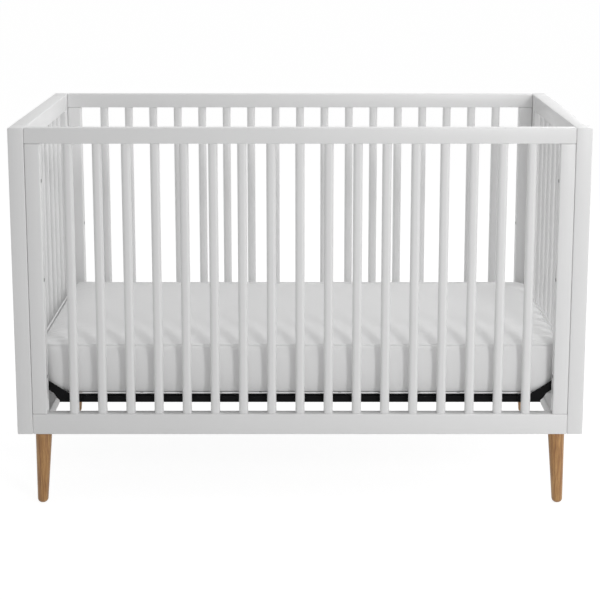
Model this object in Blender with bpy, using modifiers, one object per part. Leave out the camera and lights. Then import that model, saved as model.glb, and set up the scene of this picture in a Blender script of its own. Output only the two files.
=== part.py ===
# Baby crib with fixed slatted sides, turned splayed legs, a steel mattress support and a mattress.
# Metres, +Z up, front towards -Y, origin on the floor under the middle of the crib.
import math

import bmesh
import bpy
from mathutils import Matrix, Vector

# Inside of the crib takes a full-size crib mattress.
INNER_LENGTH = 1.330
INNER_WIDTH = 0.711
PANEL_THICK = 0.032
END_THICK = 0.0385
FRAME_TOP = 0.950
FRAME_BOTTOM = 0.182

TOP_RAIL_H = 0.038
BOTTOM_RAIL_H = 0.052
END_TOP_RAIL_H = 0.044
STILE_W = 0.0375
STILE_GAP = 0.0008
POST_DEPTH = 0.065
EDGE = 0.002
GAP = 0.0003

SLAT = 0.0226
SLAT_RADIUS = 0.0085
SLAT_PITCH = 0.0702
SIDE_SLATS = 17
END_PITCH = 0.0742
END_SLATS = 8
TENON_LONG = 0.012
TENON_WIDE = 0.010
TENON_DEEP = 0.008

LEG_TOP_R = 0.0205
LEG_FOOT_R = 0.013
LEG_X_FRONT = 0.641
LEG_X_BACK = 0.657
LEG_Y = 0.3665
LEG_SPLAY = math.tan(math.radians(2.05))
BOLT_R = 0.004
BOLT_IN_LEG = 0.040
BOLT_IN_RAIL = 0.030

BATTEN_W = 0.028
BATTEN_H = 0.033

SUPPORT_LENGTH = 1.204
SUPPORT_WIDTH = 0.701
FLANGE = 0.020
FLANGE_H = 0.016
STEEL = 0.0025
SUPPORT_TOP = 0.2705
DECK_STRIP = 0.007
DECK_THICK = 0.003
DECK_CELLS_LONG = 12
DECK_CELLS_WIDE = 14
BRACKET_THICK = 0.003
BRACKET_BOLT_Z = 0.3275
BRACKET_BOLT_Y = 0.3395
HEIGHT_STEP = 0.1143

MATTRESS_LENGTH = 1.312
MATTRESS_WIDTH = 0.690
MATTRESS_EDGE_H = 0.129
MATTRESS_CROWN = 0.015
MATTRESS_CORNER = 0.045

HALF_L = INNER_LENGTH / 2
HALF_W = INNER_WIDTH / 2
SIDE_Y = HALF_W + PANEL_THICK / 2
END_X = HALF_L + END_THICK / 2
RAIL_TOP_Z = FRAME_TOP - TOP_RAIL_H
RAIL_LOW_Z = FRAME_BOTTOM + BOTTOM_RAIL_H
POST_Y = HALF_W + PANEL_THICK - POST_DEPTH / 2
DECK_Z = SUPPORT_TOP + GAP
MATTRESS_Z = DECK_Z + DECK_THICK + GAP

for old in list(bpy.data.objects):
    bpy.data.objects.remove(old)


def collection(name):
    group = bpy.data.collections.new(name)
    bpy.context.scene.collection.children.link(group)
    return group


CRIB = collection("baby_crib")
CUTTERS = collection("cutters")


def material(name, colour, roughness, metallic=0.0):
    mat = bpy.data.materials.new(name)
    mat.use_nodes = True
    shader = mat.node_tree.nodes["Principled BSDF"]
    shader.inputs["Base Color"].default_value = (*colour, 1)
    shader.inputs["Roughness"].default_value = roughness
    shader.inputs["Metallic"].default_value = metallic
    return mat


WHITE = material("white_paint", (0.80, 0.80, 0.79), 0.35)
OAK = material("clear_wood", (0.42, 0.24, 0.11), 0.42)
BLACK = material("black_enamel", (0.012, 0.012, 0.013), 0.40)
ZINC = material("zinc_plate", (0.62, 0.62, 0.60), 0.32, 1.0)
SHEET = material("white_cotton", (0.82, 0.82, 0.81), 0.85)


def part(name, mesh, mat, place=(0, 0, 0), group=None):
    obj = bpy.data.objects.new(name, mesh)
    obj.location = place
    if mat and not mesh.materials:
        mesh.materials.append(mat)
    (group or CRIB).objects.link(obj)
    return obj


def blocks(name, boxes):
    """One mesh of plain blocks, each given as (centre, size)."""
    bm = bmesh.new()
    for centre, size in boxes:
        where = Matrix.Translation(centre) @ Matrix.Diagonal((*size, 1))
        bmesh.ops.create_cube(bm, size=1, matrix=where)
    return to_mesh(bm, name)


def to_mesh(bm, name):
    bmesh.ops.recalc_face_normals(bm, faces=bm.faces)
    if bm.calc_volume(signed=True) < 0:
        bmesh.ops.reverse_faces(bm, faces=bm.faces)
    mesh = bpy.data.meshes.new(name)
    bm.to_mesh(mesh)
    bm.free()
    return mesh


def ease(obj, width=EDGE, segments=2):
    bevel = obj.modifiers.new("eased_edges", "BEVEL")
    bevel.width = width
    bevel.segments = segments
    bevel.limit_method = "ANGLE"
    return obj


def boolean(obj, tool, operation="DIFFERENCE"):
    tool.hide_render = True
    tool.display_type = "WIRE"
    mod = obj.modifiers.new(tool.name, "BOOLEAN")
    mod.operation = operation
    mod.object = tool
    mod.solver = "EXACT"
    return obj


def baked(obj, name):
    """Mesh of an object with its modifiers worked in; the object itself is removed."""
    bpy.context.view_layer.update()
    graph = bpy.context.evaluated_depsgraph_get()
    mesh = bpy.data.meshes.new_from_object(obj.evaluated_get(graph))
    mesh.name = name
    bpy.data.objects.remove(obj)
    return mesh


def board(name, size, centre, mat=WHITE):
    return ease(part(name, blocks(name, [((0, 0, 0), size)]), mat, centre))


def holes(name, places, radius, depth, axis, sides=16):
    """Cutter of round bores centred on the given places, along X or Z."""
    bm = bmesh.new()
    turn = Matrix.Rotation(math.pi / 2, 4, "Y") if axis == "X" else Matrix.Identity(4)
    for place in places:
        bmesh.ops.create_cone(
            bm, segments=sides, radius1=radius, radius2=radius, depth=depth, cap_ends=True,
            matrix=Matrix.Translation(place) @ turn,
        )
    return part(name, to_mesh(bm, name), None, group=CUTTERS)


def turned(name, profile, steps):
    """Closed turning about Z from an outline of (radius, height) points, top to bottom."""
    mesh = bpy.data.meshes.new(name)
    mesh.from_pydata([(r, 0, z) for r, z in profile], [(i, i + 1) for i in range(len(profile) - 1)], [])
    obj = part(name, mesh, None, group=CUTTERS)
    spin = obj.modifiers.new("turn", "SCREW")
    spin.steps = steps
    spin.render_steps = steps
    spin.use_merge_vertices = True
    spin.merge_threshold = 0.00005
    spin.use_smooth_shade = True
    return baked(obj, name)


def lean(mesh, side_x, side_y):
    """Splay a leg-axis mesh outwards below z = 0, keeping its cross-sections level."""
    shear = Matrix.Identity(4)
    shear[0][2] = -side_x * LEG_SPLAY
    shear[1][2] = -side_y * LEG_SPLAY
    mesh.transform(shear)
    return mesh


# Slats: rounded-square bars with a flat tenon at each end.
def slat_mesh(height):
    bm = bmesh.new()
    bmesh.ops.create_cube(bm, size=1, matrix=Matrix.Diagonal((SLAT, SLAT, height, 1)))
    upright = [e for e in bm.edges if abs(e.verts[0].co.z - e.verts[1].co.z) > height / 2]
    bmesh.ops.bevel(
        bm, geom=upright, offset=SLAT_RADIUS, segments=3, profile=0.5, affect="EDGES", offset_type="OFFSET",
    )
    bar = part("bar", to_mesh(bm, "bar"), WHITE, group=CUTTERS)
    depth = TENON_DEEP + 0.006
    at = height / 2 - 0.006 + depth / 2
    tenons = blocks("tenons", [((0, 0, s * at), (TENON_LONG, TENON_WIDE, depth)) for s in (-1, 1)])
    tool = part("tenons", tenons, WHITE, group=CUTTERS)
    mesh = baked(boolean(bar, tool, "UNION"), "slat")
    bpy.data.objects.remove(tool)
    return mesh


def ladder(name, slat, height, count, pitch, place, turn=0.0):
    """A row of slats held by a fillet strip through their tenons, top and bottom."""
    bm = bmesh.new()
    for i in range(count):
        first = len(bm.verts)
        bm.from_mesh(slat)
        bm.verts.ensure_lookup_table()
        shift = Vector(((i - (count - 1) / 2) * pitch, 0, 0))
        bmesh.ops.translate(bm, verts=bm.verts[first:], vec=shift)
    row = part(name, to_mesh(bm, name), WHITE, place)
    row.rotation_euler.z = turn
    low, high = GAP * 2, TENON_DEEP - 0.001
    at = height / 2 + (low + high) / 2
    size = ((count - 1) * pitch + TENON_LONG - 0.001, TENON_WIDE - 0.001, high - low)
    strips = blocks(name + "_strips", [((0, 0, s * at), size) for s in (-1, 1)])
    tool = part(name + "_strips", strips, None, place, CUTTERS)
    tool.rotation_euler.z = turn
    return boolean(row, tool, "UNION")


def shade_round(obj, degrees=35):
    obj.data.shade_smooth()
    obj.data.set_sharp_from_angle(angle=math.radians(degrees))
    return obj


SIDE_SLAT_H = RAIL_TOP_Z - RAIL_LOW_Z - 2 * GAP
SIDE_SLAT_Z = (RAIL_TOP_Z + RAIL_LOW_Z) / 2
side_slat = slat_mesh(SIDE_SLAT_H)
END_RAIL_Z = FRAME_TOP - END_TOP_RAIL_H
END_SLAT_H = END_RAIL_Z - RAIL_LOW_Z - 2 * GAP
END_SLAT_Z = (END_RAIL_Z + RAIL_LOW_Z) / 2
end_slat = slat_mesh(END_SLAT_H)
slat_places = [(i - (SIDE_SLATS - 1) / 2) * SLAT_PITCH for i in range(SIDE_SLATS)]

# Bores for the hanger bolts that hold the legs, leaning with them.
leg_spots = [(sx, sy) for sy in (-1, 1) for sx in (-1, 1)]
leg_x = {-1: LEG_X_FRONT, 1: LEG_X_BACK}


def leg_bores(name, side):
    bm = bmesh.new()
    for sx in (-1, 1):
        tmp = bpy.data.meshes.new("bore")
        one = bmesh.new()
        bmesh.ops.create_cone(
            one, segments=16, radius1=BOLT_R + GAP, radius2=BOLT_R + GAP, cap_ends=True,
            depth=2 * BOLT_IN_RAIL + 0.002,
        )
        one.to_mesh(tmp)
        one.free()
        lean(tmp, sx, side)
        tmp.transform(Matrix.Translation((sx * leg_x[side], side * LEG_Y, FRAME_BOTTOM)))
        bm.from_mesh(tmp)
        bpy.data.meshes.remove(tmp)
    return part(name, to_mesh(bm, name), None, group=CUTTERS)


# Front and back panels: two rails running the full length, a stile between them at each end.
def side_panel(label, side):
    y = side * SIDE_Y
    length = INNER_LENGTH - 2 * GAP
    top = board(label + "_top_rail", (length, PANEL_THICK, TOP_RAIL_H), (0, y, FRAME_TOP - TOP_RAIL_H / 2))
    low = board(
        label + "_bottom_rail", (length, PANEL_THICK, BOTTOM_RAIL_H), (0, y, FRAME_BOTTOM + BOTTOM_RAIL_H / 2)
    )
    wide = TENON_WIDE + 2 * GAP
    deep = TENON_DEEP + GAP
    if label == "front":
        spots = [(x, TENON_LONG + 2 * GAP) for x in slat_places]
    else:
        spots = [(0, 16 * SLAT_PITCH + TENON_LONG + 2 * GAP)]
    for rail, face in ((top, RAIL_TOP_Z), (low, RAIL_LOW_Z)):
        sockets = blocks(rail.name + "_sockets", [((x, y, face), (run, wide, 2 * deep)) for x, run in spots])
        boolean(rail, part(rail.name + "_sockets", sockets, None, group=CUTTERS))
    boolean(low, leg_bores(label + "_leg_bores", side))
    stile_x = HALF_L - STILE_GAP - (STILE_W - STILE_GAP) / 2
    for word, sx in (("left", -1), ("right", 1)):
        board(
            f"{label}_{word}_stile", (STILE_W - STILE_GAP, PANEL_THICK, SIDE_SLAT_H),
            (sx * stile_x, y, SIDE_SLAT_Z),
        )


side_panel("front", -1)
side_panel("back", 1)
for i, x in enumerate(slat_places):
    shade_round(part(f"front_slat_{i + 1:02d}", side_slat, WHITE, (x, -SIDE_Y, SIDE_SLAT_Z)))
ladder("back_slats", side_slat, SIDE_SLAT_H, SIDE_SLATS, SLAT_PITCH, (0, SIDE_Y, SIDE_SLAT_Z))


# End panels: a post at each corner, two rails and a row of slats between the posts.
def end_panel(label, sx):
    x = sx * END_X
    height = FRAME_TOP - FRAME_BOTTOM
    for word, sy in (("front", -1), ("back", 1)):
        post = board(
            f"{label}_{word}_post", (END_THICK, POST_DEPTH, height),
            (x, sy * POST_Y, FRAME_BOTTOM + height / 2),
        )
        spots = [
            (sx * HALF_L, sy * BRACKET_BOLT_Y, BRACKET_BOLT_Z + i * HEIGHT_STEP) for i in range(3)
        ]
        boolean(post, holes(post.name + "_holes", spots, 0.0035, 0.028, "X", 12))
    run = 2 * (POST_Y - POST_DEPTH / 2) - 2 * GAP
    top = board(label + "_top_rail", (END_THICK, run, END_TOP_RAIL_H), (x, 0, FRAME_TOP - END_TOP_RAIL_H / 2))
    low = board(
        label + "_bottom_rail", (END_THICK, run, BOTTOM_RAIL_H), (x, 0, FRAME_BOTTOM + BOTTOM_RAIL_H / 2)
    )
    size = (TENON_WIDE + 2 * GAP, 7 * END_PITCH + TENON_LONG + 2 * GAP, 2 * (TENON_DEEP + GAP))
    for rail, face in ((top, END_RAIL_Z), (low, RAIL_LOW_Z)):
        groove = blocks(rail.name + "_groove", [((x, 0, face), size)])
        boolean(rail, part(rail.name + "_groove", groove, None, group=CUTTERS))
    ladder(label + "_slats", end_slat, END_SLAT_H, END_SLATS, END_PITCH, (x, 0, END_SLAT_Z), math.pi / 2)
    inner = sx * (HALF_L - GAP - BATTEN_W / 2)
    board(
        label + "_batten", (BATTEN_W, INNER_WIDTH - 2 * GAP, BATTEN_H),
        (inner, 0, FRAME_BOTTOM + BATTEN_H / 2),
    )


end_panel("left_end", -1)
end_panel("right_end", 1)

# Legs: straight tapered turnings with a softly rounded foot, bored for a hanger bolt.
LEG_H = FRAME_BOTTOM - GAP
leg_outline = [
    (0, -BOLT_IN_LEG - 0.001), (BOLT_R + GAP, -BOLT_IN_LEG - 0.001), (BOLT_R + GAP, 0),
    (LEG_TOP_R - 0.0012, 0), (LEG_TOP_R, -0.0012), (LEG_FOOT_R + 0.0002, -LEG_H + 0.0090),
    (LEG_FOOT_R - 0.0008, -LEG_H + 0.0050), (LEG_FOOT_R - 0.0030, -LEG_H + 0.0018),
    (LEG_FOOT_R - 0.0058, -LEG_H + 0.0003), (LEG_FOOT_R - 0.0072, -LEG_H), (0, -LEG_H),
]
bolt_outline = [
    (0, BOLT_IN_RAIL), (BOLT_R - 0.0008, BOLT_IN_RAIL), (BOLT_R, BOLT_IN_RAIL - 0.0008),
    (BOLT_R, -BOLT_IN_LEG + 0.003), (0.0012, -BOLT_IN_LEG), (0, -BOLT_IN_LEG),
]
for sx, sy in leg_spots:
    corner = ("front" if sy < 0 else "back") + ("_left" if sx < 0 else "_right")
    place = (sx * leg_x[sy], sy * LEG_Y, LEG_H)
    leg = part(corner + "_leg", lean(turned("leg", leg_outline, 24), sx, sy), OAK, place)
    shade_round(leg, 40)
    bolt = part(corner + "_leg_bolt", lean(turned("leg_bolt", bolt_outline, 16), sx, sy), ZINC, place)
    shade_round(bolt)

# Mattress support: a ring of angle iron with the upright flange outside and turned down.
ring = part(
    "support_frame",
    blocks("support_frame", [((0, 0, 0), (SUPPORT_LENGTH, SUPPORT_WIDTH, FLANGE_H))]), BLACK,
    (0, 0, SUPPORT_TOP - FLANGE_H / 2),
)
below = blocks(
    "support_underside",
    [((0, 0, -STEEL), (SUPPORT_LENGTH - 2 * STEEL, SUPPORT_WIDTH - 2 * STEEL, FLANGE_H))],
)
boolean(ring, part("support_underside", below, None, ring.location, CUTTERS))
middle = blocks(
    "support_middle", [((0, 0, 0), (SUPPORT_LENGTH - 2 * FLANGE, SUPPORT_WIDTH - 2 * FLANGE, 0.05))]
)
boolean(ring, part("support_middle", middle, None, ring.location, CUTTERS))

# Deck of flat steel strips crossing in one layer, lying on the flanges.
bm = bmesh.new()
size = Matrix.Diagonal((SUPPORT_LENGTH - 0.008, SUPPORT_WIDTH - 0.006, 1, 1))
bmesh.ops.create_grid(bm, x_segments=DECK_CELLS_LONG, y_segments=DECK_CELLS_WIDE, size=0.5, matrix=size)
cells = bm.faces[:]
bmesh.ops.inset_individual(bm, faces=cells, thickness=DECK_STRIP / 2, use_even_offset=True)
bmesh.ops.delete(bm, geom=cells, context="FACES")
deck = part("deck_lattice", to_mesh(bm, "deck_lattice"), BLACK, (0, 0, DECK_Z))
solid = deck.modifiers.new("strip_thickness", "SOLIDIFY")
solid.thickness = DECK_THICK
solid.offset = 1
solid.use_even_offset = True


# Corner brackets: a plate on the outside of the flange, rising to a tab bolted to the post.
BRACKET_OUTLINE = [
    (0.5450, 0.2565), (0.5450, 0.2740), (0.5730, 0.2745), (0.6640, 0.3350), (0.6640, 0.3105),
    (0.6300, 0.2885), (0.6160, 0.2790), (0.6075, 0.2660), (0.5970, 0.2565),
]
PLATE_Y = SUPPORT_WIDTH / 2 + GAP + BRACKET_THICK / 2
TAB_X = HALF_L - GAP - BRACKET_THICK / 2
pan_head = [
    (0, 0.0030), (0.0032, 0.0028), (0.0052, 0.0016), (0.0056, 0.0003), (0.0056, 0), (0.0030, 0),
    (0.0030, -0.0032), (0, -0.0032),
]
for sx, sy in leg_spots:
    corner = ("front" if sy < 0 else "back") + ("_left" if sx < 0 else "_right")
    bm = bmesh.new()
    rim = [bm.verts.new((sx * x, sy * (PLATE_Y + BRACKET_THICK / 2), z)) for x, z in BRACKET_OUTLINE]
    plate = bm.faces.new(rim)
    bmesh.ops.recalc_face_normals(bm, faces=bm.faces)
    grown = bmesh.ops.extrude_face_region(bm, geom=[plate])
    inward = [v for v in grown["geom"] if isinstance(v, bmesh.types.BMVert)]
    bmesh.ops.translate(bm, verts=inward, vec=(0, -sy * BRACKET_THICK, 0))
    bracket = part(corner + "_bracket", to_mesh(bm, corner + "_bracket"), BLACK)
    tab_y = (PLATE_Y + BRACKET_THICK / 2 - 0.0002 + 0.3265) / 2
    tab_size = (BRACKET_THICK, PLATE_Y + BRACKET_THICK / 2 - 0.0002 - 0.3265, 0.034)
    tab = blocks(corner + "_tab", [((sx * TAB_X, sy * tab_y, BRACKET_BOLT_Z), tab_size)])
    boolean(bracket, part(corner + "_tab", tab, None, group=CUTTERS), "UNION")
    eye = holes(
        corner + "_tab_hole", [(sx * TAB_X, sy * BRACKET_BOLT_Y, BRACKET_BOLT_Z)], 0.0033, 0.012, "X"
    )
    boolean(bracket, eye)
    head = part(
        corner + "_bracket_bolt", turned("bracket_bolt", pan_head, 16), ZINC,
        (sx * (TAB_X - BRACKET_THICK / 2 - GAP), sy * BRACKET_BOLT_Y, BRACKET_BOLT_Z),
    )
    head.rotation_euler.y = -sx * math.pi / 2
    shade_round(head)

# Mattress: rounded corners, softened edges and a low crown.
bm = bmesh.new()
bmesh.ops.create_cube(bm, size=1, matrix=Matrix.Diagonal((MATTRESS_LENGTH, MATTRESS_WIDTH, MATTRESS_EDGE_H, 1)))
upright = [e for e in bm.edges if abs(e.verts[0].co.z - e.verts[1].co.z) > 0.01]
bmesh.ops.bevel(bm, geom=upright, offset=MATTRESS_CORNER, segments=4, profile=0.5, affect="EDGES")
rims = [e for e in bm.edges if abs(e.verts[0].co.z - e.verts[1].co.z) < 0.001]
bmesh.ops.bevel(bm, geom=rims, offset=0.010, segments=2, profile=0.5, affect="EDGES")
top = max(bm.faces, key=lambda f: f.calc_center_median().z)
for inset, rise in ((0.045, 0.60), (0.110, 0.30), (0.180, 0.10)):
    top = bmesh.ops.extrude_discrete_faces(bm, faces=[top])["faces"][0]
    half = Vector((max(v.co.x for v in top.verts), max(v.co.y for v in top.verts), 1))
    for v in top.verts:
        v.co.x *= (MATTRESS_LENGTH / 2 - inset) / half.x
        v.co.y *= (MATTRESS_WIDTH / 2 - inset) / half.y
        v.co.z += rise * MATTRESS_CROWN
mattress = part("mattress", to_mesh(bm, "mattress"), SHEET, (0, 0, MATTRESS_Z + MATTRESS_EDGE_H / 2))
shade_round(mattress, 50)
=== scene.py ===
# Baby crib: white painted slatted frame on turned wooden legs, black steel mattress support, white mattress.
import math

import bpy
from mathutils import Matrix, Vector, noise


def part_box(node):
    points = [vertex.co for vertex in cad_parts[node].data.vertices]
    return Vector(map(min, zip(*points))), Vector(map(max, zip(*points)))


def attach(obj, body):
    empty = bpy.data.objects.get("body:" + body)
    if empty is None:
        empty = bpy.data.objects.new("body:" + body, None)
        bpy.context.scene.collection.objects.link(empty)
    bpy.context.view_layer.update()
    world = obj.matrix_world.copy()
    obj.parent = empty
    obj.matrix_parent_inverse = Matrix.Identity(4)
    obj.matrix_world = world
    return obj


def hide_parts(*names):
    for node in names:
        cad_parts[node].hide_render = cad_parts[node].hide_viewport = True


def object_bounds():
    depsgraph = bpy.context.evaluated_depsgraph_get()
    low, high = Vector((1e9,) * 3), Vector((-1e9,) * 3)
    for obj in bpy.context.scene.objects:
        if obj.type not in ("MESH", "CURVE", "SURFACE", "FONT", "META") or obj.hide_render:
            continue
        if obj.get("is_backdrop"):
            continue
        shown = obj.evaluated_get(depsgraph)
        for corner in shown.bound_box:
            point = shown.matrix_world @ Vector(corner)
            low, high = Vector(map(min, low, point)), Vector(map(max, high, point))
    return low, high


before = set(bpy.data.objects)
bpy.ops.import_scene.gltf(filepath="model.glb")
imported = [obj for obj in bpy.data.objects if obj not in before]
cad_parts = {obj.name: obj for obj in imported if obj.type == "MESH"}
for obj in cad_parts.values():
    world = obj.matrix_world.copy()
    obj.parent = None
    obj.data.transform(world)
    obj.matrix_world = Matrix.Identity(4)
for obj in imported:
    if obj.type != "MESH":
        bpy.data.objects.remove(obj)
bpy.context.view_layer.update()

# Rails, stiles, posts and battens. Straight sticks of solid hardwood, planed square, their arrises taken off
# with a small round and spray painted in satin white. They are glued and bolted together, so each joint
# between two sticks shows as a fine shadow line.
ARRIS = 0.0025
PAINT_WHITE = "F0F0F0"
PAINT_SHADE = "EBEBEB"
SPRAY_GRAIN_MM = 2.2
WOOD_STREAK_MM = 1.6


def linear(code):
    """Linear RGBA from an sRGB hex colour."""
    values = [int(code[i:i + 2], 16) / 255 for i in (0, 2, 4)]
    return (*[v / 12.92 if v <= 0.04045 else ((v + 0.055) / 1.055) ** 2.4 for v in values], 1)


def add(tree, kind, inputs=None, **settings):
    """Adds a node, sets its properties, and sets or links its inputs."""
    made = tree.nodes.new(kind)
    for key, value in settings.items():
        setattr(made, key, value)
    for socket, value in (inputs or {}).items():
        if isinstance(value, bpy.types.NodeSocket):
            tree.links.new(value, made.inputs[socket])
        else:
            made.inputs[socket].default_value = value
    return made


def new_material(name):
    """An empty material with its shader and output joined; returns the material, tree and shader."""
    made = bpy.data.materials.new(name)
    made.use_nodes = True
    tree = made.node_tree
    tree.nodes.clear()
    shader = add(tree, "ShaderNodeBsdfPrincipled")
    add(tree, "ShaderNodeOutputMaterial", {"Surface": shader.outputs[0]})
    return made, tree, shader


def per_metre(size_mm):
    """Noise scale whose features are about this many millimetres across."""
    return 1000 / size_mm


# Satin sprayed lacquer on close-grained hardwood: a faint orange peel, and grain that shows through only as
# long soft ridges along the stick.
def satin_paint(name, stretch):
    """White paint whose ridges run along the axis that is stretched least."""
    made, tree, shader = new_material(name)
    place = add(tree, "ShaderNodeTexCoord").outputs["Object"]
    cloud = add(tree, "ShaderNodeTexNoise", {"Vector": place, "Scale": 5.0, "Detail": 3.0})
    tone = add(tree, "ShaderNodeMix", {
        "Factor": cloud.outputs["Fac"], "A": linear(PAINT_WHITE), "B": linear(PAINT_SHADE),
    }, data_type="RGBA")
    tree.links.new(tone.outputs["Result"], shader.inputs["Base Color"])
    peel = add(tree, "ShaderNodeTexNoise", {
        "Vector": place, "Scale": per_metre(SPRAY_GRAIN_MM), "Detail": 2.0,
    })
    along = add(tree, "ShaderNodeMapping", {"Vector": place, "Scale": stretch})
    ridge = add(tree, "ShaderNodeTexNoise", {
        "Vector": along.outputs[0], "Scale": per_metre(WOOD_STREAK_MM), "Detail": 3.0,
    })
    height = add(tree, "ShaderNodeMath", {
        0: ridge.outputs["Fac"], 1: 0.45, 2: peel.outputs["Fac"],
    }, operation="MULTIPLY_ADD")
    bump = add(tree, "ShaderNodeBump", {"Strength": 0.12, "Distance": 0.0004, "Height": height.outputs[0]})
    tree.links.new(bump.outputs[0], shader.inputs["Normal"])
    rough = add(tree, "ShaderNodeMapRange", {"Value": peel.outputs["Fac"], "To Min": 0.34, "To Max": 0.44})
    tree.links.new(rough.outputs[0], shader.inputs["Roughness"])
    shader.inputs["IOR"].default_value = 1.5
    shader.inputs["Coat Weight"].default_value = 0.15
    shader.inputs["Coat Roughness"].default_value = 0.25
    return made


LONG_WAY = 0.04
paint_x = satin_paint("satin_lacquer_along_x", (LONG_WAY, 1, 1))
paint_y = satin_paint("satin_lacquer_along_y", (1, LONG_WAY, 1))
paint_z = satin_paint("satin_lacquer_along_z", (1, 1, LONG_WAY))


def start(piece, name):
    """Names a new piece and brings its object to the origin."""
    piece.name = name
    piece.data.name = name
    bpy.ops.object.transform_apply(location=True, rotation=True, scale=True)
    return piece


def stick(name, low, high, edge=ARRIS):
    """A square-planed stick between two corners, with rounded arrises."""
    bpy.ops.object.select_all(action="DESELECT")
    bpy.ops.mesh.primitive_cube_add(size=1, location=(low + high) / 2, scale=high - low)
    piece = start(bpy.context.object, name)
    bpy.ops.object.mode_set(mode="EDIT")
    bpy.ops.mesh.select_all(action="SELECT")
    bpy.ops.mesh.bevel(offset=edge, segments=3, affect="EDGES")
    bpy.ops.object.mode_set(mode="OBJECT")
    bpy.ops.object.shade_smooth_by_angle(angle=math.radians(40))
    return piece


def finish_piece(piece, made, body, slot, *nodes):
    """Gives a piece its material and the body it moves with, and hides the solids it stands for; the slot is
    not used.
    """
    piece.data.materials.clear()
    piece.data.materials.append(made)
    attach(piece, body)
    if nodes:
        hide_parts(*nodes)
    return piece


TURN_TO_X = (0, math.pi / 2, 0)


def cut_out(piece, cutter):
    """Cuts one piece out of another and throws the cutter away."""
    bpy.context.view_layer.objects.active = piece
    cut = piece.modifiers.new("bore", "BOOLEAN")
    cut.object = cutter
    cut.solver = "EXACT"
    bpy.ops.object.modifier_apply(modifier=cut.name)
    bpy.data.objects.remove(cutter)


def drill(piece, face_point, radius, deep):
    """Bores a round hole along X from a point on a face."""
    bpy.ops.object.select_all(action="DESELECT")
    bpy.ops.mesh.primitive_cylinder_add(
        vertices=24, radius=radius, depth=2 * deep, location=face_point, rotation=TURN_TO_X)
    cut_out(piece, start(bpy.context.object, "drill_bit"))


SIDES = ("front", "back")
ENDS = ("left", "right")
for side in SIDES:
    for rail in ("top_rail", "bottom_rail"):
        node = f"{side}_{rail}"
        finish_piece(stick(node + "_stick", *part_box(node)), paint_x, "crib_frame", "white_paint", node)
for end in ENDS:
    for rail in ("top_rail", "bottom_rail", "batten"):
        node = f"{end}_end_{rail}"
        finish_piece(stick(node + "_stick", *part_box(node)), paint_y, "crib_frame", "white_paint", node)

# Stiles close each side panel at its ends. Three machine bolts go through each one into the post behind it,
# each with its head sunk in a bore.
BOLT_BORE_R = 0.0060
BOLT_BORE_DEEP = 0.0065
BOLT_SHARES = (0.137, 0.5, 0.863)
stile_low, stile_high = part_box("front_left_stile")
bolt_rows = [stile_low.z + share * (stile_high.z - stile_low.z) for share in BOLT_SHARES]
bolt_spots = []
for side in SIDES:
    for end, outward in zip(ENDS, (-1, 1)):
        node = f"{side}_{end}_stile"
        low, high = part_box(node)
        piece = stick(node + "_stick", low, high)
        face_x = high.x if outward < 0 else low.x
        for z in bolt_rows:
            spot = Vector((face_x, (low.y + high.y) / 2, z))
            drill(piece, spot, BOLT_BORE_R, BOLT_BORE_DEEP)
            bolt_spots.append((f"{side}_{end}", spot, outward))
        finish_piece(piece, paint_z, "crib_frame", "white_paint", node)

# Posts stand full height at each corner. Their inner faces have three holes, one above another, for the
# bolts that set the height of the mattress.
BRACKET_HOLE_R = 0.0035
BRACKET_HOLE_DEEP = 0.014
BRACKET_STEP = 0.1143
for side in SIDES:
    for end, outward in zip(ENDS, (-1, 1)):
        node = f"{end}_end_{side}_post"
        low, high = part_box(node)
        piece = stick(node + "_stick", low, high)
        face_x = high.x if outward < 0 else low.x
        head_low, head_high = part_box(f"{side}_{end}_bracket_bolt")
        for step in range(3):
            spot = Vector((face_x, (head_low.y + head_high.y) / 2, (head_low.z + head_high.z) / 2))
            drill(piece, spot + Vector((0, 0, step * BRACKET_STEP)), BRACKET_HOLE_R, BRACKET_HOLE_DEEP)
        finish_piece(piece, paint_z, "crib_frame", "white_paint", node)

# Slats. Each is a separate bar moulded to a soft rounded square, painted with the frame and set in
# the rails.
SLAT_ROUND = 0.0085
SIDE_COUNT = 17
END_COUNT = 8
GLUE_GAP = 0.0002


def pick_edges(piece, test):
    """Selects the edges whose two ends pass a test, and nothing else, and leaves the piece in edit mode."""
    bpy.ops.object.mode_set(mode="EDIT")
    bpy.ops.mesh.select_mode(type="EDGE")
    bpy.ops.mesh.select_all(action="DESELECT")
    bpy.ops.object.mode_set(mode="OBJECT")
    for edge in piece.data.edges:
        edge.select = test(*(piece.data.vertices[i].co for i in edge.vertices))
    bpy.ops.object.mode_set(mode="EDIT")


def slat(name, centre, thick, low_z, high_z):
    """A round-cornered bar between two heights."""
    bpy.ops.object.select_all(action="DESELECT")
    middle = (centre.x, centre.y, (low_z + high_z) / 2)
    bpy.ops.mesh.primitive_cube_add(size=1, location=middle, scale=(thick, thick, high_z - low_z))
    piece = start(bpy.context.object, name)
    pick_edges(piece, lambda a, b: abs(a.z - b.z) > 0.1)
    bpy.ops.mesh.bevel(offset=SLAT_ROUND, segments=6, affect="EDGES")
    bpy.ops.object.mode_set(mode="OBJECT")
    bpy.ops.object.shade_smooth_by_angle(angle=math.radians(40))
    return piece


def copy_to(piece, name, shift):
    """A copy with its own mesh, moved by a distance."""
    twin = piece.copy()
    twin.data = piece.data.copy()
    twin.name = twin.data.name = name
    twin.data.transform(Matrix.Translation(shift))
    bpy.context.scene.collection.objects.link(twin)
    return twin


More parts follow.
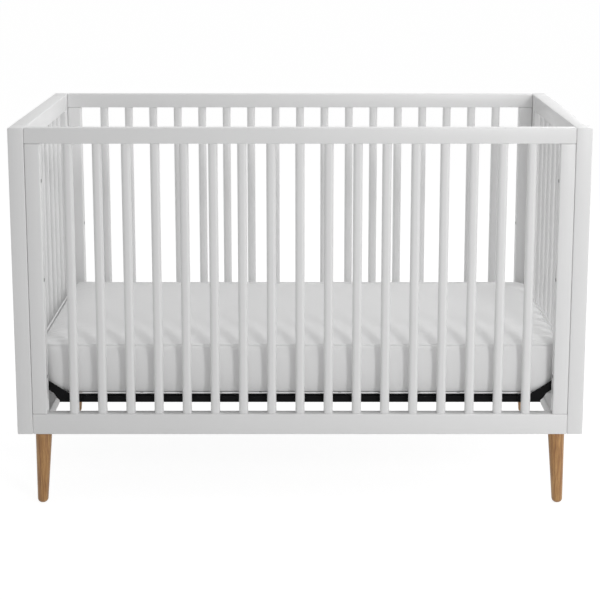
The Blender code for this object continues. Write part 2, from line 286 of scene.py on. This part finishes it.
low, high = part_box("front_slat_01")
thick = high.x - low.x
first = (low + high) / 2
last_low, last_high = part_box(f"front_slat_{SIDE_COUNT:02d}")
pitch = ((last_low + last_high) / 2 - first).x / (SIDE_COUNT - 1)
rail_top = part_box("front_bottom_rail")[1].z
rail_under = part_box("front_top_rail")[0].z
pattern = slat("front_slat_a", first, thick, rail_top + GLUE_GAP, rail_under - GLUE_GAP)
back_y = (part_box("back_top_rail")[0].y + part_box("back_top_rail")[1].y) / 2
for i in range(SIDE_COUNT):
    along = Vector((i * pitch, 0, 0))
    piece = copy_to(pattern, f"front_bar_{i + 1:02d}", along)
    finish_piece(piece, paint_z, "crib_frame", "white_paint", f"front_slat_{i + 1:02d}")
    across = Vector((0, back_y - first.y, 0))
    piece = copy_to(pattern, f"back_bar_{i + 1:02d}", along + across)
    finish_piece(piece, paint_z, "crib_frame", "white_paint", "back_slats")
bpy.data.objects.remove(pattern)

for end in ENDS:
    low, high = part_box(f"{end}_end_slats")
    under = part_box(f"{end}_end_top_rail")[0].z
    x = (low.x + high.x) / 2
    inset = thick / 2
    # The fillet strip ends flush with the outer tenons, which are narrower than the slats.
    row = [low.y + inset + (high.y - low.y - thick) * i / (END_COUNT - 1) for i in range(END_COUNT)]
    pattern = slat(f"{end}_bar_a", Vector((x, 0, 0)), thick, rail_top + GLUE_GAP, under - GLUE_GAP)
    for i, y in enumerate(row):
        piece = copy_to(pattern, f"{end}_end_bar_{i + 1:02d}", Vector((0, y, 0)))
        finish_piece(piece, paint_z, "crib_frame", "white_paint", f"{end}_end_slats")
    bpy.data.objects.remove(pattern)

# Panel bolts. Steel machine screws with a round head and a hexagon socket, blackened, sunk just below the
# face of the stile.
HEAD_R = 0.0054
HEAD_TALL = 0.0045
HEAD_SUNK = 0.0003
HEAD_SOFT = 0.0003
SOCKET_R = 0.0026


def socket_head(name, spot, outward):
    """A round head along X with its socket facing inwards to the crib."""
    bpy.ops.object.select_all(action="DESELECT")
    head_at = spot + Vector((outward * (HEAD_SUNK + HEAD_TALL / 2), 0, 0))
    bpy.ops.mesh.primitive_cylinder_add(
        vertices=24, radius=HEAD_R, depth=HEAD_TALL, location=head_at, rotation=TURN_TO_X)
    piece = start(bpy.context.object, name)
    bpy.ops.object.select_all(action="DESELECT")
    socket_at = spot + Vector((outward * HEAD_SUNK, 0, 0))
    bpy.ops.mesh.primitive_cylinder_add(
        vertices=6, radius=SOCKET_R, depth=HEAD_TALL, location=socket_at, rotation=TURN_TO_X)
    cut_out(piece, start(bpy.context.object, "hexagon_bit"))
    soft = piece.modifiers.new("soft_rim", "BEVEL")
    soft.width = HEAD_SOFT
    soft.segments = 2
    soft.angle_limit = math.radians(50)
    bpy.ops.object.modifier_apply(modifier=soft.name)
    bpy.ops.object.select_all(action="DESELECT")
    piece.select_set(True)
    bpy.ops.object.shade_smooth_by_angle(angle=math.radians(40))
    return piece


# Blackened steel: oxide black, a little oily, with a fine mottle in its colour.
oxide, tree, shader = new_material("black_oxide_steel")
place = add(tree, "ShaderNodeTexCoord").outputs["Object"]
mottle = add(tree, "ShaderNodeTexNoise", {"Vector": place, "Scale": per_metre(1.5), "Detail": 3.0})
tone = add(tree, "ShaderNodeMix", {
    "Factor": mottle.outputs["Fac"], "A": linear("161617"), "B": linear("242426"),
}, data_type="RGBA")
tree.links.new(tone.outputs["Result"], shader.inputs["Base Color"])
shader.inputs["Metallic"].default_value = 1.0
shader.inputs["Roughness"].default_value = 0.42
counts = {}
for corner, spot, outward in bolt_spots:
    counts[corner] = counts.get(corner, 0) + 1
    name = f"{corner}_panel_bolt_{counts[corner]}"
    finish_piece(socket_head(name, spot, outward), oxide, "crib_frame", "black_enamel")

# Legs. Turned hardwood, tapered straight from a flush shoulder to a small rounded foot and splayed a little
# towards the corners, finished in clear satin lacquer. A hanger bolt runs up through each into the rail.
OAK_PALE = "C99C62"
OAK_MID = "AF804A"
OAK_DARK = "895A30"
OAK_PORE = "6B4526"
GRAIN_MM = 2.4
PORE_MM = 0.7
SHOULDER_R = 0.0205
SHOULDER_SOFT = 0.0008
FOOT_R = 0.013
FOOT_ROUND = 0.0105
SPLAY = math.tan(math.radians(2.05))
BORE_R = 0.0043
BORE_DEEP = 0.041

# Clear-lacquered oak: straight grain along the leg in soft bands, with short darker pores.
oak, tree, shader = new_material("clear_lacquered_oak")
place = add(tree, "ShaderNodeTexCoord").outputs["Object"]
wander = add(tree, "ShaderNodeTexNoise", {"Vector": place, "Scale": 9.0, "Detail": 2.0})
bent = add(tree, "ShaderNodeVectorMath", {
    0: wander.outputs["Color"], 1: (0.012, 0.012, 0.0), 2: place,
}, operation="MULTIPLY_ADD")
long_way = add(tree, "ShaderNodeMapping", {"Vector": bent.outputs[0], "Scale": (1, 1, 0.05)})
bands = add(tree, "ShaderNodeTexNoise", {
    "Vector": long_way.outputs[0], "Scale": per_metre(GRAIN_MM * 2), "Detail": 5.0, "Roughness": 0.6,
})
tones = add(tree, "ShaderNodeValToRGB", {"Fac": bands.outputs["Fac"]})
tones.color_ramp.elements[0].position = 0.30
tones.color_ramp.elements[0].color = linear(OAK_DARK)
tones.color_ramp.elements[1].position = 0.72
tones.color_ramp.elements[1].color = linear(OAK_PALE)
tones.color_ramp.elements.new(0.5).color = linear(OAK_MID)
pore_way = add(tree, "ShaderNodeMapping", {"Vector": place, "Scale": (1, 1, 0.08)})
pores = add(tree, "ShaderNodeTexNoise", {
    "Vector": pore_way.outputs[0], "Scale": per_metre(PORE_MM), "Detail": 2.0,
})
pore_mask = add(tree, "ShaderNodeMapRange", {
    "Value": pores.outputs["Fac"], "From Min": 0.60, "From Max": 0.70, "To Min": 0.0, "To Max": 0.55,
})
grain = add(tree, "ShaderNodeMix", {
    "Factor": pore_mask.outputs[0], "A": tones.outputs["Color"], "B": linear(OAK_PORE),
}, data_type="RGBA")
tree.links.new(grain.outputs["Result"], shader.inputs["Base Color"])
rough = add(tree, "ShaderNodeMapRange", {"Value": bands.outputs["Fac"], "To Min": 0.5, "To Max": 0.36})
tree.links.new(rough.outputs[0], shader.inputs["Roughness"])
bump = add(tree, "ShaderNodeBump", {
    "Strength": 0.25, "Distance": 0.0003, "Height": pore_mask.outputs[0],
}, invert=True)
tree.links.new(bump.outputs[0], shader.inputs["Normal"])
shader.inputs["IOR"].default_value = 1.5
shader.inputs["Coat Weight"].default_value = 0.3
shader.inputs["Coat Roughness"].default_value = 0.3


def pick(piece, test):
    """Selects the faces whose centres pass a test, and nothing else, and leaves the piece in edit mode."""
    bpy.ops.object.mode_set(mode="EDIT")
    bpy.ops.mesh.select_mode(type="FACE")
    bpy.ops.mesh.select_all(action="DESELECT")
    bpy.ops.object.mode_set(mode="OBJECT")
    for face in piece.data.polygons:
        face.select = test(face)
    bpy.ops.object.mode_set(mode="EDIT")


for side, back in zip(SIDES, (-1, 1)):
    for end, outward in zip(ENDS, (-1, 1)):
        node = f"{side}_{end}_leg"
        low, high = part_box(node)
        tall = high.z - low.z
        # The shoulder touches the inner sides of the solid's box and the foot its outer sides.
        top_x = (low.x if outward > 0 else high.x) + outward * SHOULDER_R
        top_y = (low.y if back > 0 else high.y) + back * SHOULDER_R
        bpy.ops.object.select_all(action="DESELECT")
        bpy.ops.mesh.primitive_cone_add(
            vertices=48, radius1=FOOT_R, radius2=SHOULDER_R, depth=tall,
            location=(top_x, top_y, (low.z + high.z) / 2))
        leg = start(bpy.context.object, f"{side}_{end}_turned_leg")
        pick(leg, lambda face: face.normal.z < -0.9)
        bpy.ops.transform.translate(value=(outward * SPLAY * tall, back * SPLAY * tall, 0))
        bpy.ops.mesh.bevel(offset=FOOT_ROUND, segments=7, affect="EDGES")
        pick(leg, lambda face: face.normal.z > 0.9)
        bpy.ops.mesh.bevel(offset=SHOULDER_SOFT, segments=2, affect="EDGES")
        pick(leg, lambda face: face.normal.z > 0.99)
        bpy.ops.mesh.inset(thickness=SHOULDER_R - SHOULDER_SOFT - BORE_R)
        bpy.ops.mesh.extrude_region_move(TRANSFORM_OT_translate={
            "value": (outward * SPLAY * BORE_DEEP, back * SPLAY * BORE_DEEP, -BORE_DEEP)})
        bpy.ops.object.mode_set(mode="OBJECT")
        bpy.ops.object.shade_smooth_by_angle(angle=math.radians(35))
        finish_piece(leg, oak, "crib_frame", "clear_wood", node)

# Hanger bolts: zinc-plated steel, hidden in the legs and the rails. The bracket bolts have the same finish.
zinc, tree, shader = new_material("bright_zinc_plate")
place = add(tree, "ShaderNodeTexCoord").outputs["Object"]
spangle = add(tree, "ShaderNodeTexNoise", {"Vector": place, "Scale": per_metre(1.2), "Detail": 2.0})
tone = add(tree, "ShaderNodeMix", {
    "Factor": spangle.outputs["Fac"], "A": linear("C4C6C8"), "B": linear("A9ABAE"),
}, data_type="RGBA")
tree.links.new(tone.outputs["Result"], shader.inputs["Base Color"])
shader.inputs["Metallic"].default_value = 1.0
shader.inputs["Roughness"].default_value = 0.33
for name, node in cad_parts.items():
    if name.endswith("_bolt"):
        node.data.materials.clear()
        node.data.materials.append(zinc)

# Mattress support: a ring of angle iron with a lattice of steel strips riveted across it, and four brackets
# bent from plate. All of it is dipped in matt black powder coat before the brackets are bolted on.
# Powder coat: a dull black skin with a fine orange peel, which gives only a soft grey sheen.
powder, tree, shader = new_material("matt_black_powder_coat")
place = add(tree, "ShaderNodeTexCoord").outputs["Object"]
peel = add(tree, "ShaderNodeTexNoise", {"Vector": place, "Scale": per_metre(2.5), "Detail": 3.0})
tone = add(tree, "ShaderNodeMix", {
    "Factor": peel.outputs["Fac"], "A": linear("060607"), "B": linear("0D0D0E"),
}, data_type="RGBA")
tree.links.new(tone.outputs["Result"], shader.inputs["Base Color"])
bump = add(tree, "ShaderNodeBump", {"Strength": 0.3, "Distance": 0.0003, "Height": peel.outputs["Fac"]})
tree.links.new(bump.outputs[0], shader.inputs["Normal"])
shader.inputs["Roughness"].default_value = 0.5
shader.inputs["Specular IOR Level"].default_value = 0.1
for name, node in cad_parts.items():
    if name in ("support_frame", "deck_lattice") or name.endswith("_bracket"):
        node.data.materials.clear()
        node.data.materials.append(powder)

# Mattress: a firm foam block in a fitted sheet of white cotton percale. The sheet is cut with round corners
# and sewn along its top edge, where the seam shows as a fine cord, and it puckers where it is stretched over
# the two ends.
low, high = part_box("mattress")
PAD_EDGE_H = 0.129
PAD_CORNER = 0.045
SIDE_SWELL = 0.0003
END_SWELL = 0.002
PAD_RIM = 0.004
CROWN_CAP = 0.0145
SIDE_CAP = 0.0055
VOXEL = 0.0115
SEAM_BAND = 0.008
BOTTOM_BAND = 0.012

middle = (low + high) / 2
pad_half = Vector(((high.x - low.x) / 2 - END_SWELL, (high.y - low.y) / 2 - SIDE_SWELL, PAD_EDGE_H / 2))
pad_centre = Vector((middle.x, middle.y, low.z + PAD_EDGE_H / 2))
bpy.ops.object.select_all(action="DESELECT")
bpy.ops.mesh.primitive_cube_add(size=1, location=pad_centre, scale=2 * pad_half)
pad = start(bpy.context.object, "mattress_pad")
pick_edges(pad, lambda a, b: abs(a.z - b.z) > 0.05)
bpy.ops.mesh.bevel(offset=PAD_CORNER, segments=10, affect="EDGES")
pick_edges(pad, lambda a, b: abs(a.z - b.z) < 0.001)
bpy.ops.mesh.bevel(offset=PAD_RIM, segments=2, affect="EDGES")
bpy.ops.object.mode_set(mode="OBJECT")


def from_edge(x, y):
    """How far a place is inside the round-cornered outline of the pad, in plan."""
    over = Vector((abs(x) - pad_half.x + PAD_CORNER, abs(y) - pad_half.y + PAD_CORNER))
    outside = Vector((max(over.x, 0), max(over.y, 0))).length
    return PAD_CORNER - outside - min(max(over.x, over.y), 0)


def apply_last(piece, kind, **settings):
    """Adds a modifier and applies it."""
    made = piece.modifiers.new(kind.lower(), kind)
    for key, value in settings.items():
        setattr(made, key, value)
    bpy.ops.object.modifier_apply(modifier=made.name)


def inflate(piece, frames=20):
    """Blows the cover out as cloth, with its seams and its underside held."""
    held = piece.vertex_groups.new(name="held")
    top = low.z + PAD_EDGE_H
    for v in piece.data.vertices:
        x, y = v.co.x - middle.x, v.co.y - middle.y
        by_seam = top - v.co.z < SEAM_BAND or v.co.z - low.z < BOTTOM_BAND
        seam = from_edge(x, y) < SEAM_BAND and by_seam
        if seam or v.co.z - low.z < 0.003:
            held.add([v.index], 1.0, "REPLACE")
    cloth = piece.modifiers.new("cover", "CLOTH")
    cloth.settings.quality = 4
    cloth.settings.mass = 0.3
    cloth.settings.tension_stiffness = 8
    cloth.settings.compression_stiffness = 8
    cloth.settings.shear_stiffness = 5
    cloth.settings.bending_stiffness = 0.5
    cloth.settings.use_pressure = True
    cloth.settings.uniform_pressure_force = 16
    cloth.settings.vertex_group_mass = "held"
    cloth.settings.effector_weights.gravity = 0
    cloth.point_cache.frame_start = 1
    cloth.point_cache.frame_end = frames
    for step in range(1, frames + 1):
        bpy.context.scene.frame_set(step)
    before = [v.co.copy() for v in piece.data.vertices]
    bpy.ops.object.modifier_apply(modifier=cloth.name)
    bpy.context.scene.frame_set(1)
    for v, was in zip(piece.data.vertices, before):
        moved = v.co - was
        for axis, cap in ((0, SIDE_CAP), (1, SIDE_CAP), (2, CROWN_CAP)):
            moved[axis] = cap * math.tanh(moved[axis] / cap)
        v.co = was + moved
        v.co.z = max(v.co.z, low.z)


bpy.ops.object.select_all(action="DESELECT")
pad.select_set(True)
bpy.context.view_layer.objects.active = pad
apply_last(pad, "REMESH", mode="VOXEL", voxel_size=VOXEL)
inflate(pad)
apply_last(pad, "SUBSURF", levels=1, render_levels=1)

# The two end bands, where the cover is gathered, get a finer mesh for the creases.
END_BAND = 0.10
pick(pad, lambda face: abs(face.center.x - middle.x) > pad_half.x - END_BAND
     and face.center.z > low.z + 0.6 * PAD_EDGE_H)
bpy.ops.mesh.subdivide(number_cuts=1)
bpy.ops.object.mode_set(mode="OBJECT")

# Puckers run in from the two ends, longest at the corners, and fade out within a hand's breadth. The folds
# down the sides stay near the corners.
PUCKER_DEEP = 0.0060
PUCKER_PITCH = 0.011
PUCKER_SHORT = 0.022
PUCKER_LONG = 0.075
CORNER_SPREAD = 0.10
CORNER_HANG = 0.0012
for v in pad.data.vertices:
    x, y = v.co.x - middle.x, v.co.y - middle.y
    end_gap = pad_half.x - abs(x)
    corner = math.exp(-(pad_half.y - abs(y)) / CORNER_SPREAD)
    rise = (v.co.z - low.z) / PAD_EDGE_H
    reach = PUCKER_SHORT + PUCKER_LONG * corner
    fade = math.exp(-max(end_gap, 0) / reach) * min(1.0, max(0.0, rise - 0.2) / 0.6)
    side = math.copysign(1.0, x)
    fan = y + side * CORNER_SPREAD * end_gap * corner
    fold = 1 - 2.4 * abs(noise.noise(Vector((fan / PUCKER_PITCH, side * 7.3, end_gap * 3))))
    drop = PUCKER_DEEP * (0.6 + 0.4 * corner) * fade * fold
    if rise > 0.95:
        v.co.z += drop
    else:
        v.co.x += side * 0.5 * drop
    hang = math.exp(-end_gap / 0.02) * math.exp(-(pad_half.y - abs(y)) / 0.05) * (1 - abs(2 * rise - 1))
    v.co.x += side * CORNER_HANG * hang * noise.noise(Vector((y * 60, v.co.z * 4, 1.7)))
for face in pad.data.polygons:
    face.use_smooth = True

# Percale: plain-woven combed cotton, matt with a faint sheen at grazing angles. The threads are 0.2 mm apart
# and are drawn at 1.6 mm so that the weave can show at all. Bands of scale 1 repeat every 2 pi / 20 metres.
THREAD_MM = 1.6
COTTON = "F7F7F7"
COTTON_SHADE = "F1F1F1"
cotton, tree, shader = new_material("white_percale_cotton")
place = add(tree, "ShaderNodeTexCoord").outputs["Object"]
soft = add(tree, "ShaderNodeTexNoise", {"Vector": place, "Scale": 4.0, "Detail": 3.0})
tone = add(tree, "ShaderNodeMix", {
    "Factor": soft.outputs["Fac"], "A": linear(COTTON), "B": linear(COTTON_SHADE),
}, data_type="RGBA")
tree.links.new(tone.outputs["Result"], shader.inputs["Base Color"])
threads = []
for axis in "XYZ":
    wave = add(tree, "ShaderNodeTexWave", {
        "Vector": place, "Scale": per_metre(THREAD_MM) * math.tau / 20, "Distortion": 0.4, "Detail": 1.0,
    }, wave_type="BANDS", bands_direction=axis)
    threads.append(wave.outputs["Fac"])
warp = add(tree, "ShaderNodeMath", {0: threads[0], 1: threads[1]}, operation="ADD")
weave = add(tree, "ShaderNodeMath", {0: warp.outputs[0], 1: threads[2]}, operation="ADD")
slub = add(tree, "ShaderNodeTexNoise", {"Vector": place, "Scale": per_metre(9.0), "Detail": 3.0})
relief = add(tree, "ShaderNodeMath", {
    0: slub.outputs["Fac"], 1: 1.5, 2: weave.outputs[0],
}, operation="MULTIPLY_ADD")
bump = add(tree, "ShaderNodeBump", {"Strength": 0.10, "Distance": 0.0005, "Height": relief.outputs[0]})
tree.links.new(bump.outputs[0], shader.inputs["Normal"])
shader.inputs["Roughness"].default_value = 0.88
shader.inputs["Specular IOR Level"].default_value = 0.25
shader.inputs["Sheen Weight"].default_value = 0.12
shader.inputs["Sheen Roughness"].default_value = 0.5
finish_piece(pad, cotton, "mattress_body", "white_cotton", "mattress")

# The corded seams: round cord covered in the same cotton, sewn in along the top and bottom edges.
CORD_R = 0.0016


def corded_seam(name, z):
    """A closed cord that follows the round-cornered outline at one height."""
    bpy.ops.object.select_all(action="DESELECT")
    size = Vector((2 * (pad_half.x - CORD_R * 0.3), 2 * (pad_half.y - CORD_R * 0.3), 1))
    bpy.ops.mesh.primitive_plane_add(size=1, location=(middle.x, middle.y, z))
    loop = bpy.context.object
    loop.scale = size
    loop = start(loop, name)
    bpy.ops.object.mode_set(mode="EDIT")
    bpy.ops.mesh.select_all(action="SELECT")
    bpy.ops.mesh.bevel(offset=PAD_CORNER, segments=10, affect="VERTICES")
    bpy.ops.mesh.delete(type="ONLY_FACE")
    bpy.ops.object.mode_set(mode="OBJECT")
    bpy.ops.object.convert(target="CURVE")
    loop = bpy.context.object
    loop.data.bevel_depth = CORD_R
    loop.data.bevel_resolution = 3
    bpy.ops.object.convert(target="MESH")
    loop = start(bpy.context.object, name)
    for face in loop.data.polygons:
        face.use_smooth = True
    return finish_piece(loop, cotton, "mattress_body", "white_cotton")


corded_seam("top_corded_seam", low.z + PAD_EDGE_H - CORD_R * 1.2)
corded_seam("bottom_corded_seam", low.z + CORD_R * 1.2)

# Floor and backdrop: a plain pale studio floor under an even white surround. Seen straight on, the floor is
# lifted to white and keeps only a faint shadow of the crib.
FLOOR_LIFT = 0.92
FLOOR_SHOW = 0.20
floor_paint = bpy.data.materials.new("matt_white_floor")
floor_paint.use_nodes = True
tree = floor_paint.node_tree
tree.nodes.clear()
path = add(tree, "ShaderNodeLightPath")
direct = add(tree, "ShaderNodeMath", {
    0: path.outputs["Is Camera Ray"], 1: path.outputs["Is Glossy Ray"],
}, operation="MAXIMUM")
seen = add(tree, "ShaderNodeMath", {
    0: direct.outputs[0], 1: path.outputs["Is Transmission Ray"],
}, operation="MAXIMUM")
matt = add(tree, "ShaderNodeBsdfDiffuse", {"Color": linear("F4F4F4")})
faint = add(tree, "ShaderNodeBsdfDiffuse", {"Color": (FLOOR_SHOW, FLOOR_SHOW, FLOOR_SHOW, 1)})
lift = add(tree, "ShaderNodeEmission", {"Color": (1, 1, 1, 1), "Strength": FLOOR_LIFT})
lifted = add(tree, "ShaderNodeAddShader", {0: faint.outputs[0], 1: lift.outputs[0]})
either = add(tree, "ShaderNodeMixShader", {0: seen.outputs[0], 1: matt.outputs[0], 2: lifted.outputs[0]})
add(tree, "ShaderNodeOutputMaterial", {"Surface": either.outputs[0]})
bpy.ops.object.select_all(action="DESELECT")
bpy.ops.mesh.primitive_plane_add(size=60, location=(0, 0, 0))
floor = bpy.context.object
floor.name = "studio_floor"
floor.data.materials.append(floor_paint)
floor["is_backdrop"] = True

# The surround shows as white and lights the crib less than it shows.
SURROUND_LIGHT = 0.375
surround = bpy.data.worlds.new("white_surround")
surround.use_nodes = True
tree = surround.node_tree
tree.nodes.clear()
path = add(tree, "ShaderNodeLightPath")
direct = add(tree, "ShaderNodeMath", {
    0: path.outputs["Is Camera Ray"], 1: path.outputs["Is Glossy Ray"],
}, operation="MAXIMUM")
open_view = add(tree, "ShaderNodeMath", {
    0: direct.outputs[0], 1: path.outputs["Is Transmission Ray"],
}, operation="MAXIMUM")
level = add(tree, "ShaderNodeMapRange", {
    "Value": open_view.outputs[0], "To Min": SURROUND_LIGHT, "To Max": 1.0,
})
surround_glow = add(tree, "ShaderNodeBackground", {"Color": (1, 1, 1, 1), "Strength": level.outputs[0]})
add(tree, "ShaderNodeOutputWorld", {"Surface": surround_glow.outputs[0]})
bpy.context.scene.world = surround


def softbox(name, place, target, width, power):
    """A square area lamp turned towards a point."""
    lamp = bpy.data.lights.new(name, "AREA")
    lamp.shape = "SQUARE"
    lamp.size = width
    lamp.energy = power
    holder = bpy.data.objects.new(name, lamp)
    holder.location = place
    holder.rotation_euler = (Vector(target) - Vector(place)).to_track_quat("-Z", "Y").to_euler()
    bpy.context.scene.collection.objects.link(holder)


# One small softbox from the front right draws the shadows of the slats, and wide ones fill from the right end,
# from above and from behind.
softbox("key_softbox", (1.55, -3.5, 1.9), (0, 0, 0.5), 0.6, 31)
softbox("side_softbox", (3.3, -0.6, 2.0), (0, 0, 0.5), 1.8, 22)
softbox("low_softbox", (2.2, -1.5, 0.9), (0.3, 0, 0.5), 1.4, 2)
softbox("top_softbox", (0.8, 0.2, 3.4), (0.4, 0, 0.5), 2.4, 19)
softbox("rear_softbox", (2.2, 2.6, 2.2), (0, 0, 0.5), 1.8, 27)

# Camera: a long lens a little above the crib, square to its front.
CAMERA_BACK = 3.8173
CAMERA_UP = 1.4503
CAMERA_DIP = 0.1926
LENS_MM = 96.08
LENS_SHIFT = -0.12
lens = bpy.data.cameras.new("view_camera")
lens.sensor_width = 36
lens.lens = LENS_MM
lens.shift_y = LENS_SHIFT
lens.clip_end = 200
camera = bpy.data.objects.new("view_camera", lens)
camera.location = (0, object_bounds()[0][1] - CAMERA_BACK, CAMERA_UP)
camera.rotation_euler = (math.pi / 2 - CAMERA_DIP, 0, 0)
bpy.context.scene.collection.objects.link(camera)
bpy.context.scene.camera = camera
bpy.context.scene.view_settings.view_transform = "Standard"
